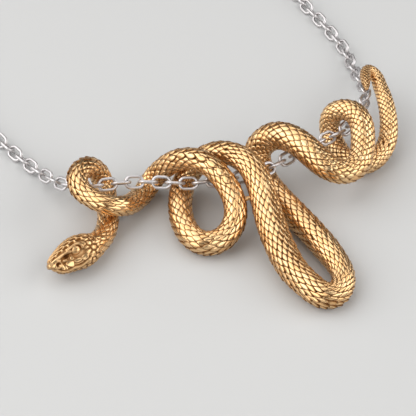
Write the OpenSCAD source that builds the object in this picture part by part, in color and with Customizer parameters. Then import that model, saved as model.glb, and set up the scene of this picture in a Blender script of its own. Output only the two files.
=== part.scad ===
// A snake necklace that lies on a flat surface. A cast snake winds along a cable chain:
// its body coils round the links, and a small cast bridge joins two of its strands.
// The chain runs once round the neck and closes in a plain barrel clasp at the back.
// Sizes are in millimetres, z is up, and the floor is at z = 0.

/* [Snake skin] */
// Distance between two rings of the body
ring_step = 1.05; // [0.8:0.05:2]
// Corners of a body ring, and three times as many on the head
ring_sides = 18; // [12:2:24]
// Length of the stretch at the front that is drawn as the head
head_length = 8.4; // [6:0.1:10]
// Distance between two rings of the head
head_step = 0.24; // [0.2:0.02:0.6]
// Share of the bend radius that the inner side of a tight bend may reach
bend_share = 0.82; // [0.5:0.01:0.95]
// Squareness of a head section, where 2 is an ellipse
head_square = 2.4; // [2:0.1:4]

/* [Face] */
// Radius of the eyeball
eye_radius = 0.58; // [0.3:0.01:0.8]
// Rise of the eyeball out of its socket
eye_height = 0.32; // [0:0.01:0.5]
// Depth of the eye's socket
socket_depth = 0.24; // [0:0.01:0.5]
// Height of the ridge over the eye and along the snout
brow_height = 0.26; // [0:0.01:0.6]
// Depth of the mouth line
mouth_depth = 0.2; // [0:0.01:0.4]
// Distance from the snout to the corner of the mouth
mouth_length = 5.4; // [3:0.1:7]
// Depth of the pit between the eye and the nostril
pit_depth = 0.3; // [0:0.01:0.5]
// Depth of the nostril
nostril_depth = 0.2; // [0:0.01:0.4]

/* [Bridge] */
// Thickness of the small bridge between the second coil and the long loop
bridge_wide = 1.5; // [1:0.1:2.5]

/* [Chain] */
// Wanted distance from one link to the next
link_pitch = 1.87; // [1.5:0.01:3]
// Thickness of the link wire
link_wire = 0.44; // [0.3:0.01:0.8]
// Outer width of a link
link_width = 2.0; // [1.5:0.01:3]
// Play between two linked wires
link_play = 0.14; // [0.1:0.01:0.3]
// Roll of a link about the run of the chain, to one side and then the other
link_roll = 45; // [30:1:60]
// Height of the middle of the chain where it lies on the floor
chain_rest = 0.79; // [0.7:0.01:1.2]

/* [Clasp] */
// Length of the barrel
barrel_length = 9; // [6:0.1:14]
// Diameter of the barrel
barrel_wide = 2.8; // [2:0.1:5]
// Thickness of the wire of its two eyes
eyelet_wire = 0.6; // [0.4:0.01:1]
// Outer width of its two eyes
eyelet_wide = 2.2; // [1.8:0.01:3]
// Distance from the middle of the pendant to the clasp
clasp_away = 181; // [150:1:190]
// Sideways place of the clasp
clasp_side = 3.7; // [0:0.1:10]

/* [Hidden] */
$fn = 48;
// Points between two rows of a route, and how often each route is then evened out
steps = 6;
snake_passes = 4;
chain_passes = 2;
// The middle of the whole necklace's box, from the middle of the pendant, where the routes start
box_mid = [3.43, 78.04, 0];

// The route of the snake, in stretches from the snout to the tip of the tail.
// Columns: x, y, z of the middle of the body, and its radius.
X = 0; Y = 1; Z = 2; THICK = 3;
head_run = [
  [-26.6, -5.2, 2.4, 0.8],
  [-25.0, -4.9, 2.6, 1.6],
  [-23.0, -4.4, 2.75, 2.2],
  [-21.2, -4.0, 2.65, 2.15],
  [-19.3, -3.3, 2.3, 1.65],
  [-17.2, -1.4, 1.7, 1.5],
  [-15.8, 0.7, 1.6, 1.5],
  [-14.8, 3.2, 1.6, 1.45],
  [-13.9, 5.8, 1.6, 1.45]];
first_coil = [
  [-13.6, 7.6, 2.4, 1.45],
  [-14.1, 8.3, 4.2, 1.45],
  [-15.8, 7.8, 6.2, 1.45],
  [-17.8, 6.4, 6.6, 1.45],
  [-18.4, 4.1, 6.1, 1.4],
  [-17.3, 2.0, 5.5, 1.35],
  [-15.9, 0.5, 5.2, 1.35],
  [-13.9, 0.5, 4.2, 1.4],
  [-11.0, 2.8, 2.05, 1.5],
  [-8.5, 4.8, 1.6, 1.53]];
first_arch = [
  [-6.9, 5.7, 2.5, 1.55],
  [-5.6, 5.2, 4.3, 1.53],
  [-4.2, 4.2, 6.0, 1.52],
  [-2.8, 2.8, 7.1, 1.52],
  [-1.7, 1.2, 7.6, 1.51],
  [-0.7, -0.6, 7.4, 1.54],
  [0.0, -2.3, 6.6, 1.54]];
second_coil = [
  [0.4, -4.1, 5.7, 1.57],
  [0.3, -6.0, 4.7, 1.57],
  [-0.4, -7.6, 3.7, 1.6],
  [-1.8, -8.8, 2.7, 1.63],
  [-3.7, -9.2, 2.0, 1.66],
  [-5.5, -8.5, 1.8, 1.67],
  [-6.5, -6.5, 1.8, 1.67],
  [-6.4, -3.5, 1.8, 1.68],
  [-5.5, -0.5, 1.8, 1.66],
  [-4.2, 2.1, 1.8, 1.67]];
second_arch = [
  [-3.0, 3.6, 2.4, 1.68],
  [-1.6, 4.3, 3.6, 1.68],
  [-0.1, 4.1, 5.0, 1.67],
  [1.4, 3.1, 6.3, 1.67],
  [2.7, 1.4, 7.2, 1.66],
  [3.6, -0.6, 7.6, 1.69],
  [4.2, -2.7, 7.4, 1.78]];
long_loop = [
  [4.4, -4.6, 6.5, 1.85],
  [4.3, -6.5, 5.5, 1.91],
  [3.4, -11.1, 3.9, 2.0],
  [2.9, -16.6, 2.9, 2.02],
  [3.0, -19.5, 2.6, 1.94],
  [3.7, -22.2, 2.3, 1.86],
  [4.7, -24.3, 2.0, 1.79],
  [6.4, -24.7, 1.8, 1.66],
  [8.2, -23.4, 1.8, 1.57],
  [9.2, -21.1, 1.8, 1.61],
  [9.2, -16.6, 1.95, 1.83],
  [8.5, -9.9, 1.95, 1.85],
  [8.0, -6.7, 1.95, 1.87],
  [7.6, -3.6, 1.95, 1.87],
  [7.5, -0.4, 2.0, 1.85]];
third_arch = [
  [7.6, 1.7, 2.9, 1.86],
  [7.8, 2.9, 4.2, 1.89],
  [8.6, 3.1, 5.6, 1.93],
  [9.8, 2.6, 6.8, 1.96],
  [10.9, 1.3, 7.6, 1.95],
  [12.1, -0.4, 7.6, 1.95],
  [13.1, -2.2, 7.0, 1.94],
  [14.1, -4.1, 6.1, 1.87]];
third_coil = [
  [15.3, -5.4, 5.3, 1.77],
  [17.0, -6.1, 4.7, 1.7],
  [19.1, -5.7, 4.7, 1.7],
  [20.9, -3.7, 5.1, 1.71],
  [22.1, -1.5, 5.7, 1.72],
  [22.8, 0.5, 6.5, 1.69],
  [22.6, 2.5, 7.0, 1.59],
  [21.7, 4.0, 6.7, 1.49],
  [20.7, 5.1, 5.5, 1.49],
  [20.2, 5.1, 3.8, 1.5],
  [20.1, 4.2, 2.2, 1.5],
  [20.0, 2.2, 1.6, 1.5],
  [20.1, -0.5, 1.5, 1.45]];
tail = [
  [21.5, -2.5, 1.5, 1.41],
  [23.6, -2.6, 1.8, 1.41],
  [25.9, -1.3, 2.4, 1.38],
  [27.4, 0.6, 3.2, 1.34],
  [28.5, 3.0, 4.0, 1.25],
  [29.3, 5.6, 4.7, 1.17],
  [30.0, 8.6, 4.9, 1.05],
  [30.4, 10.7, 5.1, 0.96],
  [29.7, 11.7, 5.6, 0.9],
  [28.5, 10.4, 6.1, 0.82],
  [27.7, 8.7, 6.3, 0.66],
  [27.2, 7.5, 6.0, 0.3]];

// The shape of the head. Columns: distance from the snout, half width, rise over the
// middle line, drop under it.
AT = 0; HALF = 1; RISE = 2; DROP = 3;
head_form = [
  [0, 0.7, 0.55, 0.85],
  [0.3, 1.05, 0.9, 1.2],
  [0.9, 1.35, 1.25, 1.5],
  [1.8, 1.62, 1.6, 1.8],
  [2.8, 1.85, 1.95, 2.05],
  [3.8, 2.05, 2.2, 2.25],
  [4.8, 2.2, 2.3, 2.4],
  [5.8, 2.15, 2.15, 2.3],
  [6.8, 1.85, 1.85, 1.95],
  [7.8, 1.62, 1.62, 1.65],
  [9, 1.52, 1.52, 1.52]];
// The ridge along the snout and over the eye, and the mouth line.
// Columns: distance from the snout, angle from the top of the head.
ridge_line = [[0, 60], [2.4, 57], [3.5, 48], [4.4, 53], [5.2, 70]];
mouth_line = [[0, 115], [0.7, 128], [1.7, 139], [2.7, 131], [3.9, 127], [4.9, 112], [5.4, 104]];
// How wide the ridge, the mouth line and the swell of the upper lip are, as angles
ridge_spread = 9;
mouth_spread = 6;
lip_offset = 16;
lip_swell = 0.08;
ridge_end = 5.4;
line_fade = 0.5;
// Round hollows on each side of the face.
// Columns: distance from the snout, angle from the top, reach, depth.
TURN = 1; REACH = 2; DEPTH = 3;
eye_socket = [3.65, 73, 0.85, socket_depth];
heat_pit = [2.15, 76, 0.4, pit_depth];
nostril = [0.95, 90, 0.26, nostril_depth];
// The swell of the jaw's corner, in the same columns
jaw_corner = [5, 150, 1, 0.1];
jaw_spread = 25;
// From where and over which length the head's section turns round, and joins the body's
round_from = 5.5;
round_over = 2.5;
join_from = 7.2;
join_over = 1.2;
// How far the nose stands out of the first ring, and the tip of the tail out of the last
nose_length = 0.12;
tip_length = 0.3;
// Half the stretch of the route that gives a ring its heading
heading_reach = 0.35;
// The way that the top of the head points
head_top = [0.27, 0.61, 0.74];

// The route of the chain that shows. Columns: x, y, z of the middle of the links.
left_leg = [
  [-38, 66, chain_rest],
  [-30, 45, chain_rest],
  [-25.2, 33, chain_rest],
  [-23, 24.2, chain_rest],
  [-22.3, 21.5, 0.8],
  [-21, 16.8, 0.95]];
through_coils = [
  [-19.6, 11.6, 2.0],
  [-18.7, 8.9, 2.9],
  [-17.3, 6.9, 3.7],
  [-15.5, 5.8, 4.15],
  [-13.7, 5.3, 4.25],
  [-10.2, 4.2, 4.3],
  [-6.8, 2.5, 4.35],
  [-3.4, 0.7, 4.4],
  [-0.4, -0.2, 4.5],
  [2.8, -1.1, 4.65],
  [7.0, -1.4, 4.8],
  [11.0, -0.3, 4.75],
  [14.5, 0.8, 4.6],
  [18.1, 1.6, 4.5],
  [20.0, 2.1, 4.35],
  [21.7, 2.7, 4.15],
  [24.5, 5.2, 3.95],
  [28.1, 8.9, 3.2]];
right_leg = [
  [29.6, 13.7, 2.0],
  [30.7, 18.7, 1.0],
  [31.6, 22.8, 0.8],
  [31.6, 26.8, chain_rest],
  [31.4, 31, chain_rest],
  [30.9, 36.8, chain_rest],
  [32, 50, chain_rest],
  [38, 70, chain_rest]];
// The rest of the way round the neck, as shares of the clasp's distance.
// Columns: distance to the side from the clasp's end, share of the distance, height.
SIDE = 0; SHARE = 1; HIGH = 2;
neck_left = [
  [5, 1, 0.98],
  [17, 0.955, chain_rest],
  [30, 0.85, chain_rest],
  [39, 0.7, chain_rest],
  [41.5, 0.54, chain_rest]];
neck_right = [
  [41, 0.56, chain_rest],
  [37, 0.72, chain_rest],
  [28, 0.86, chain_rest],
  [16, 0.957, chain_rest],
  [5, 1, 0.98]];

clasp_mid = [clasp_side, clasp_away, barrel_wide / 2];
eyelet_mid = (eyelet_wide - eyelet_wire) / 2;
eyelet_at = barrel_length / 2 + eyelet_mid - 0.1;
// Distance from the middle of the clasp to the points where the end links hang in its eyes
clasp_reach = eyelet_at + eyelet_mid - eyelet_wire / 2 - link_play / 2;

snake_rows = concat(head_run, first_coil, first_arch, second_coil, second_arch, long_loop,
  third_arch, third_coil, tail);
chain_rows = concat(
  [clasp_mid - [clasp_reach, 0, 0], clasp_mid - [clasp_reach + 2, 0, 0.1]],
  [for (p = neck_left) [clasp_side - clasp_reach - p[SIDE], clasp_away * p[SHARE], p[HIGH]]],
  left_leg, through_coils, right_leg,
  [for (p = neck_right) [clasp_side + clasp_reach + p[SIDE], clasp_away * p[SHARE], p[HIGH]]],
  [clasp_mid + [clasp_reach + 2, 0, -0.1], clasp_mid + [clasp_reach, 0, 0]]);

function unit(v) = v / norm(v);
function place(p) = [p[X], p[Y], p[Z]];
function knot(a, b) = sqrt(max(norm(place(b) - place(a)), 0.001));
// One step of a smooth curve between p1 and p2, where p0 and p3 are the rows beside them
function between(p0, p1, p2, p3, t) =
  let (a = knot(p0, p1), b = knot(p1, p2), c = knot(p2, p3),
    m1 = (p2 - p1) + b * ((p1 - p0) / a - (p2 - p0) / (a + b)),
    m2 = (p2 - p1) + b * ((p3 - p2) / c - (p3 - p1) / (b + c)))
  (2 * pow(t, 3) - 3 * t * t + 1) * p1 + (pow(t, 3) - 2 * t * t + t) * m1
    + (3 * t * t - 2 * pow(t, 3)) * p2 + (pow(t, 3) - t * t) * m2;
function curve(rows) =
  let (last = len(rows) - 1)
  concat([for (i = [0:last - 1], k = [0:steps - 1])
    between(i > 0 ? rows[i - 1] : 2 * rows[0] - rows[1], rows[i], rows[i + 1],
      i + 2 <= last ? rows[i + 2] : 2 * rows[last] - rows[last - 1], k / steps)], [rows[last]]);
function smooth(p, n) = n == 0 ? p
  : smooth([for (i = [0:len(p) - 1]) i == 0 || i == len(p) - 1 ? p[i]
      : 0.25 * p[i - 1] + 0.5 * p[i] + 0.25 * p[i + 1]], n - 1);
// The length of the way to each point
function ways(p) = [for (i = 0, s = 0; i < len(p); i = i + 1,
  s = i < len(p) ? s + norm(place(p[i]) - place(p[i - 1])) : s) s];
// One column against the length of the way, for lookup
function column(p, s, c) = [for (i = [0:len(p) - 1]) [s[i], p[i][c]]];

snake_line = smooth(curve(snake_rows), snake_passes);
snake_ways = ways(snake_line);
snake_long = snake_ways[len(snake_ways) - 1];
snake_cols = [for (c = [X:THICK]) column(snake_line, snake_ways, c)];
function snake_at(s) = [for (c = [X:Z]) lookup(s, snake_cols[c])];
function snake_thick(s) = lookup(s, snake_cols[THICK]);

head_cols = [for (c = [HALF:DROP]) [for (r = head_form) [r[AT], r[c]]]];
head_rings = floor(head_length / head_step);
body_long = snake_long - head_length - tip_length;
body_rings = floor(body_long / ring_step);
stations = concat([for (i = [0:head_rings - 1]) i * head_step],
  [for (i = [0:body_rings]) head_length + i * body_long / body_rings]);
ring_count = len(stations);
middles = [for (s = stations) snake_at(s)];
headings = [for (s = stations)
  unit(snake_at(min(s + heading_reach, snake_long)) - snake_at(max(s - heading_reach, 0)))];
// The side of each ring that carries on the top of the head, with no twist
function carried(i, n, out) = i == ring_count ? out
  : let (v = unit(n - (n * headings[i]) * headings[i])) carried(i + 1, v, concat(out, [v]));
ring_tops = carried(0, head_top, []);
// How the route bends at each ring, as a vector towards the middle of the bend
bends = [for (i = [0:ring_count - 1])
  let (a = max(i - 1, 0), b = min(i + 1, ring_count - 1))
  (headings[b] - headings[a]) / (stations[b] - stations[a])];

function bump(d) = exp(-d * d);
function ramp(d) = max(0, min(1, d));
// A head section at distance s and angle f from the top, without the face
function head_plain(s, f) =
  let (half = lookup(s, head_cols[0]),
    tall = cos(f) > 0 ? lookup(s, head_cols[1]) : lookup(s, head_cols[2]),
    q = head_square + (2 - head_square) * ramp((s - round_from) / round_over))
  pow(pow(abs(cos(f)) / tall, q) + pow(abs(sin(f)) / half, q), -1 / q);
// How far a spot on the skin lies from the middle of a mark
function off_mark(s, g, mark) =
  norm([s - mark[AT], (g - mark[TURN]) * lookup(s, head_cols[0]) * PI / 180]);
// The face: ridge, socket, eye, pit, nostril and mouth, the same on both sides
function face(s, f) =
  let (g = abs(f),
    lip = g - lookup(s, mouth_line),
    shut = ramp((mouth_length - s) / line_fade),
    ridge = ramp(s / line_fade) * ramp((ridge_end - s) / line_fade),
    hollows = [for (m = [eye_socket, heat_pit, nostril]) m[DEPTH] * bump(off_mark(s, g, m) / m[REACH])])
  brow_height * ridge * bump((g - lookup(s, ridge_line)) / ridge_spread)
  - hollows[0] - hollows[1] - hollows[2]
  + eye_height * sqrt(max(0, 1 - pow(off_mark(s, g, eye_socket) / eye_radius, 2)))
  - mouth_depth * shut * bump(lip / mouth_spread)
  + lip_swell * shut * bump((lip + lip_offset) / ridge_spread)
  + jaw_corner[DEPTH] * bump((s - jaw_corner[AT]) / jaw_corner[REACH])
    * bump((g - jaw_corner[TURN]) / jaw_spread);
function turn_angle(k, n) = let (f = 360 * k / n) f > 180 ? f - 360 : f;
function ring(i) =
  let (s = stations[i], t = headings[i], up = ring_tops[i], side = cross(t, up),
    on_head = i < head_rings, n = on_head ? 3 * ring_sides : ring_sides,
    mix = ramp((s - join_from) / join_over))
  [for (k = [0:n - 1])
    let (f = turn_angle(k, n), d = cos(f) * up + sin(f) * side,
      wide = mix >= 1 ? snake_thick(s)
        : mix * snake_thick(s) + (1 - mix) * (head_plain(s, f) + face(s, f)),
      most = bend_share / max(bends[i] * d, 0.01))
    middles[i] + min(wide, most) * d];

// Rings joined into one closed skin. The head's rings have three times the body's corners.
module snake_skin() {
  n = ring_sides;
  m = 3 * n;
  rings = [for (i = [0:ring_count - 1]) ring(i)];
  base = head_rings * m;
  nose = snake_at(0) - nose_length * headings[0];
  tip = snake_at(snake_long);
  points = concat([for (r = rings, p = r) p], [nose, tip]);
  nose_at = len(points) - 2;
  tip_at = len(points) - 1;
  last = base + (ring_count - head_rings - 1) * n;
  faces = concat(
    [for (k = [0:m - 1]) [nose_at, k, (k + 1) % m]],
    [for (i = [0:head_rings - 2], k = [0:m - 1], h = [0:1])
      let (a = i * m + k, b = i * m + (k + 1) % m)
      h == 0 ? [a, a + m, b + m] : [a, b + m, b]],
    [for (k = [0:n - 1], h = [0:3])
      let (a = (head_rings - 1) * m, a0 = a + 3 * k, a1 = a0 + 1, a2 = a0 + 2,
        a3 = a + (3 * k + 3) % m, b0 = base + k, b1 = base + (k + 1) % n)
      h == 0 ? [a0, b0, a1] : h == 1 ? [a1, b0, b1] : h == 2 ? [a1, b1, a2] : [a2, b1, a3]],
    [for (i = [0:ring_count - head_rings - 2], k = [0:n - 1], h = [0:1])
      let (a = base + i * n + k, b = base + i * n + (k + 1) % n)
      h == 0 ? [a, a + n, b + n] : [a, b + n, b]],
    [for (k = [0:n - 1]) [tip_at, last + (k + 1) % n, last + k]]);
  polyhedron(points = points, faces = faces, convexity = 12);
}

// The small bridge that was cast between the second coil and the long loop
module bridge() {
  from = [1.2, -5.7, 4.9];
  to = [3.4, -6.3, 5.2];
  way = to - from;
  translate(from)
    rotate([0, acos(way[Z] / norm(way)), atan2(way[Y], way[X])])
      cylinder(h = norm(way), d = bridge_wide, $fn = 8);
}

module snake() {
  color([0.83, 0.65, 0.35]) union() {
    snake_skin();
    bridge();
  }
}

chain_line = smooth(curve(chain_rows), chain_passes);
chain_ways = ways(chain_line);
chain_long = chain_ways[len(chain_ways) - 1];
chain_cols = [for (c = [X:Z]) column(chain_line, chain_ways, c)];
function chain_at(s) = [for (c = [X:Z]) lookup(s, chain_cols[c])];
link_count = 2 * round(chain_long / link_pitch / 2);
pitch = chain_long / link_count;

// One oval link round the origin, long way along x and flat in the x-y plane
module link() {
  bend = (link_width - link_wire) / 2;
  half = round(1000 * ((pitch + link_play + link_wire) / 2 - bend)) / 1000;
  for (way = [0, 180]) rotate([0, 0, way]) {
    translate([half, 0, 0]) rotate([0, 0, -90])
      rotate_extrude(angle = 180) translate([bend, 0]) circle(d = link_wire, $fn = 32);
    translate([-half, bend, 0]) rotate([0, 90, 0]) cylinder(h = 2 * half, d = link_wire, $fn = 32);
  }
}

// The links from number a up to number b, each across the joint points of the route
module chain(a, b) {
  for (i = [a:b]) {
    p = chain_at(i * pitch);
    q = chain_at((i + 1) * pitch);
    t = unit(q - p);
    up = unit([0, 0, 1] - t[Z] * t);
    side = cross(t, up);
    roll = (i % 2 == 0 ? -1 : 1) * link_roll;
    u = cos(roll) * up + sin(roll) * side;
    n = cross(t, u);
    c = (p + q) / 2;
    multmatrix([[t[X], u[X], n[X], c[X]], [t[Y], u[Y], n[Y], c[Y]], [t[Z], u[Z], n[Z], c[Z]]])
      link();
  }
}

module chain_left() {
  color([0.78, 0.78, 0.8]) chain(0, link_count / 2 - 1);
}

module chain_right() {
  color([0.78, 0.78, 0.8]) chain(link_count / 2, link_count - 1);
}

// A plain barrel with rounded ends and an eye at each end
module clasp() {
  color([0.78, 0.78, 0.8]) translate(clasp_mid) union() {
    rotate([0, 90, 0]) cylinder(h = barrel_length, d = barrel_wide, center = true);
    for (end = [0, 1]) mirror([end, 0, 0]) {
      translate([eyelet_at, 0, 0])
        rotate([end == 0 ? -45 : 45, 0, 0])
          rotate_extrude() translate([eyelet_mid, 0]) circle(d = eyelet_wire, $fn = 32);
    }
  }
}

translate(-box_mid) snake();
translate(-box_mid) chain_left();
translate(-box_mid) chain_right();
translate(-box_mid) clasp();
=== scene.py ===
"""A cast gold snake that winds along a silver cable chain, lying on a pale surface.

Geometry Nodes lay rows of small plates on the body, along the snake's route. The head, the
core under the plates and the small bridge between two coils are meshes of their own. The
chain and the clasp are the frame's solids with a silver finish.

Lengths are in millimetres and become metres where a mesh is made. The stage, at the end, is
in metres. A distance s is measured along the body from the snout.
"""
import math

import bpy
import numpy as np
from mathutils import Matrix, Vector


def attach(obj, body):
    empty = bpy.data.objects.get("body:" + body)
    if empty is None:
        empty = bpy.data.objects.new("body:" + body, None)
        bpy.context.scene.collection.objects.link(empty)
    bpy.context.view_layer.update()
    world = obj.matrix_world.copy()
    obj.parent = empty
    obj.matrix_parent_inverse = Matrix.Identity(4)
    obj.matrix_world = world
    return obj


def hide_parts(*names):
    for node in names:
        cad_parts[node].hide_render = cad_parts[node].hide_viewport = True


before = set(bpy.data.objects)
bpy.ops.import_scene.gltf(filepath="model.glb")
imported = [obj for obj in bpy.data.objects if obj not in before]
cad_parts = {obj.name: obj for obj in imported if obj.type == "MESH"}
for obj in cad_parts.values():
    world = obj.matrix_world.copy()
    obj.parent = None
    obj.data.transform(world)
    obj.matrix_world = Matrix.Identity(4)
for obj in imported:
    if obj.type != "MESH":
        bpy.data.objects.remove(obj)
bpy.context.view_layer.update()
MM = 0.001

# The routes start at the middle of the pendant, which lies here from the frame's origin
PENDANT_MID = np.array([-3.43, -78.04, 0.0])

# The snake from the snout to the tip of the tail: x, y, z and radius
SNAKE_ROWS = np.array([
    # head
    (-26.6, -5.2, 2.4, 0.8), (-25.0, -4.9, 2.6, 1.6), (-23.0, -4.4, 2.75, 2.2),
    (-21.2, -4.0, 2.65, 2.15), (-19.3, -3.3, 2.3, 1.65), (-17.2, -1.4, 1.7, 1.5),
    (-15.8, 0.7, 1.6, 1.5), (-14.8, 3.2, 1.6, 1.45), (-13.9, 5.8, 1.6, 1.45),
    # first coil
    (-13.6, 7.6, 2.4, 1.45), (-14.1, 8.3, 4.2, 1.45), (-15.8, 7.8, 6.2, 1.45),
    (-17.8, 6.4, 6.6, 1.45), (-18.4, 4.1, 6.1, 1.4), (-17.3, 2.0, 5.5, 1.35),
    (-15.9, 0.5, 5.2, 1.35), (-13.9, 0.5, 4.2, 1.4), (-11.0, 2.8, 2.05, 1.5),
    (-8.5, 4.8, 1.6, 1.53),
    # first arch
    (-6.9, 5.7, 2.5, 1.55), (-5.6, 5.2, 4.3, 1.53), (-4.2, 4.2, 6.0, 1.52),
    (-2.8, 2.8, 7.1, 1.52), (-1.7, 1.2, 7.6, 1.51), (-0.7, -0.6, 7.4, 1.54),
    (0.0, -2.3, 6.6, 1.54),
    # second coil
    (0.4, -4.1, 5.7, 1.57), (0.3, -6.0, 4.7, 1.57), (-0.4, -7.6, 3.7, 1.6),
    (-1.8, -8.8, 2.7, 1.63), (-3.7, -9.2, 2.0, 1.66), (-5.5, -8.5, 1.8, 1.67),
    (-6.5, -6.5, 1.8, 1.67), (-6.4, -3.5, 1.8, 1.68), (-5.5, -0.5, 1.8, 1.66),
    (-4.2, 2.1, 1.8, 1.67),
    # second arch
    (-3.0, 3.6, 2.4, 1.68), (-1.6, 4.3, 3.6, 1.68), (-0.1, 4.1, 5.0, 1.67),
    (1.4, 3.1, 6.3, 1.67), (2.7, 1.4, 7.2, 1.66), (3.6, -0.6, 7.6, 1.69),
    (4.2, -2.7, 7.4, 1.78),
    # long loop
    (4.4, -4.6, 6.5, 1.85), (4.3, -6.5, 5.5, 1.91), (3.4, -11.1, 3.9, 2.0),
    (2.9, -16.6, 2.9, 2.02), (3.0, -19.5, 2.6, 1.94), (3.7, -22.2, 2.3, 1.86),
    (4.7, -24.3, 2.0, 1.79), (6.4, -24.7, 1.8, 1.66), (8.2, -23.4, 1.8, 1.57),
    (9.2, -21.1, 1.8, 1.61), (9.2, -16.6, 1.95, 1.83), (8.5, -9.9, 1.95, 1.85),
    (8.0, -6.7, 1.95, 1.87), (7.6, -3.6, 1.95, 1.87), (7.5, -0.4, 2.0, 1.85),
    # third arch
    (7.6, 1.7, 2.9, 1.86), (7.8, 2.9, 4.2, 1.89), (8.6, 3.1, 5.6, 1.93),
    (9.8, 2.6, 6.8, 1.96), (10.9, 1.3, 7.6, 1.95), (12.1, -0.4, 7.6, 1.95),
    (13.1, -2.2, 7.0, 1.94), (14.1, -4.1, 6.1, 1.87),
    # third coil
    (15.3, -5.4, 5.3, 1.77), (17.0, -6.1, 4.7, 1.7), (19.1, -5.7, 4.7, 1.7),
    (20.9, -3.7, 5.1, 1.71), (22.1, -1.5, 5.7, 1.72), (22.8, 0.5, 6.5, 1.69),
    (22.6, 2.5, 7.0, 1.59), (21.7, 4.0, 6.7, 1.49), (20.7, 5.1, 5.5, 1.49),
    (20.2, 5.1, 3.8, 1.5), (20.1, 4.2, 2.2, 1.5), (20.0, 2.2, 1.6, 1.5),
    (20.1, -0.5, 1.5, 1.45),
    # tail
    (21.5, -2.5, 1.5, 1.41), (23.6, -2.6, 1.8, 1.41), (25.9, -1.3, 2.4, 1.38),
    (27.4, 0.6, 3.2, 1.34), (28.5, 3.0, 4.0, 1.25), (29.3, 5.6, 4.7, 1.17),
    (30.0, 8.6, 4.9, 1.05), (30.4, 10.7, 5.1, 0.96), (29.7, 11.7, 5.6, 0.9),
    (28.5, 10.4, 6.1, 0.82), (27.7, 8.7, 6.3, 0.66), (27.2, 7.5, 6.0, 0.3)])
# Points from one row to the next, and how often their line is evened out
STEPS = 6
PASSES = 4
# How far to each side the heading and the bend of the body are measured
HEADING_REACH = 0.35
BEND_REACH = 1.05
# The way that the top of the head faces, and the step in which it is carried along the body
HEAD_TOP = (0.27, 0.61, 0.74)
TOP_STEP = 0.2

# The section of the head: distance from the snout, half width, rise and drop
HEAD_FORM = np.array([
    (0, 0.7, 0.55, 0.85), (0.3, 1.05, 0.9, 1.2), (0.9, 1.35, 1.25, 1.5),
    (1.8, 1.62, 1.6, 1.8), (2.8, 1.85, 1.95, 2.05), (3.8, 2.05, 2.2, 2.25),
    (4.8, 2.2, 2.3, 2.4), (5.8, 2.15, 2.15, 2.3), (6.8, 1.85, 1.85, 1.95),
    (7.8, 1.62, 1.62, 1.65), (9, 1.52, 1.52, 1.52)])
# How square a section is, where 2 is round: the head's turns into the body's in this stretch
HEAD_SQUARE = 2.4
BODY_SQUARE = 2
ROUND_FROM = 5.5
ROUND_OVER = 2.5
# Where the head's section gives way to the body's
NECK_FROM = 7.2
NECK_OVER = 1.2


# The snake's route

def between(p0, p1, p2, p3, t):
    """A point of the smooth curve between p1 and p2, where p0 and p3 are their neighbours."""
    a, b, c = (math.sqrt(np.linalg.norm((q - p)[:3])) for p, q in ((p0, p1), (p1, p2), (p2, p3)))
    m1 = (p2 - p1) + b * ((p1 - p0) / a - (p2 - p0) / (a + b))
    m2 = (p2 - p1) + b * ((p3 - p2) / c - (p3 - p1) / (b + c))
    return ((2 * t**3 - 3 * t * t + 1) * p1 + (t**3 - 2 * t * t + t) * m1
            + (3 * t * t - 2 * t**3) * p2 + (t**3 - t * t) * m2)


def evened(rows, passes):
    """The rows with each one drawn halfway to its neighbours, and the two ends kept."""
    rows = rows.copy()
    for _ in range(passes):
        rows[1:-1] = 0.25 * rows[:-2] + 0.5 * rows[1:-1] + 0.25 * rows[2:]
    return rows


def curve(rows):
    """A smooth line through the rows, evened out."""
    ends = [2 * rows[0] - rows[1], *rows, 2 * rows[-1] - rows[-2]]
    line = [between(*ends[i:i + 4], k / STEPS) for i in range(len(rows) - 1) for k in range(STEPS)]
    return evened(np.array(line + [rows[-1]]), PASSES)


def unit(v):
    """Each vector with a length of 1."""
    return v / np.linalg.norm(v, axis=-1, keepdims=True)


LINE = curve(SNAKE_ROWS)
WAYS = np.concatenate([[0], np.cumsum(np.linalg.norm(np.diff(LINE[:, :3], axis=0), axis=1))])
LONG = WAYS[-1]


def middle(s):
    """Points on the middle line at distances s from the snout."""
    return np.stack([np.interp(s, WAYS, LINE[:, c]) for c in range(3)], axis=-1) + PENDANT_MID


def thick(s):
    """The radius of the body at distances s."""
    return np.interp(s, WAYS, LINE[:, 3])


def heading(s):
    """The way that the body runs at distances s, away from the snout."""
    ahead, behind = np.minimum(s + HEADING_REACH, LONG), np.maximum(s - HEADING_REACH, 0)
    return unit(middle(ahead) - middle(behind))


def carried_tops(s):
    """The top of the body at each distance, carried along from the snout without twisting."""
    top = np.array(HEAD_TOP)
    tops = []
    for t in heading(s):
        top = unit(top - (top @ t) * t)
        tops.append(top)
    return np.array(tops)


FINE = np.arange(0, LONG, TOP_STEP)
TOPS = carried_tops(FINE)


def spine(s):
    """At each distance in s: the middle, heading, top and side of the body, and how it bends."""
    ahead = heading(s)
    tops = np.stack([np.interp(s, FINE, TOPS[:, c]) for c in range(3)], axis=-1)
    tops = unit(tops - np.sum(tops * ahead, axis=-1, keepdims=True) * ahead)
    back, front = np.maximum(s - BEND_REACH, 0), np.minimum(s + BEND_REACH, LONG)
    bend = (heading(front) - heading(back)) / (front - back)[:, None]
    return middle(s), ahead, tops, np.cross(ahead, tops), bend


def ramp(x):
    """x where it is between 0 and 1, and the nearer of the two elsewhere."""
    return np.clip(x, 0, 1)


def section(s):
    """Half width, rise, drop and squareness of the section at distances s."""
    on_body = ramp((s - NECK_FROM) / NECK_OVER)
    sizes = [on_body * thick(s) + (1 - on_body) * np.interp(s, HEAD_FORM[:, 0], HEAD_FORM[:, c])
             for c in (1, 2, 3)]
    square = HEAD_SQUARE + (BODY_SQUARE - HEAD_SQUARE) * ramp((s - ROUND_FROM) / ROUND_OVER)
    return (*sizes, square)


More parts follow.
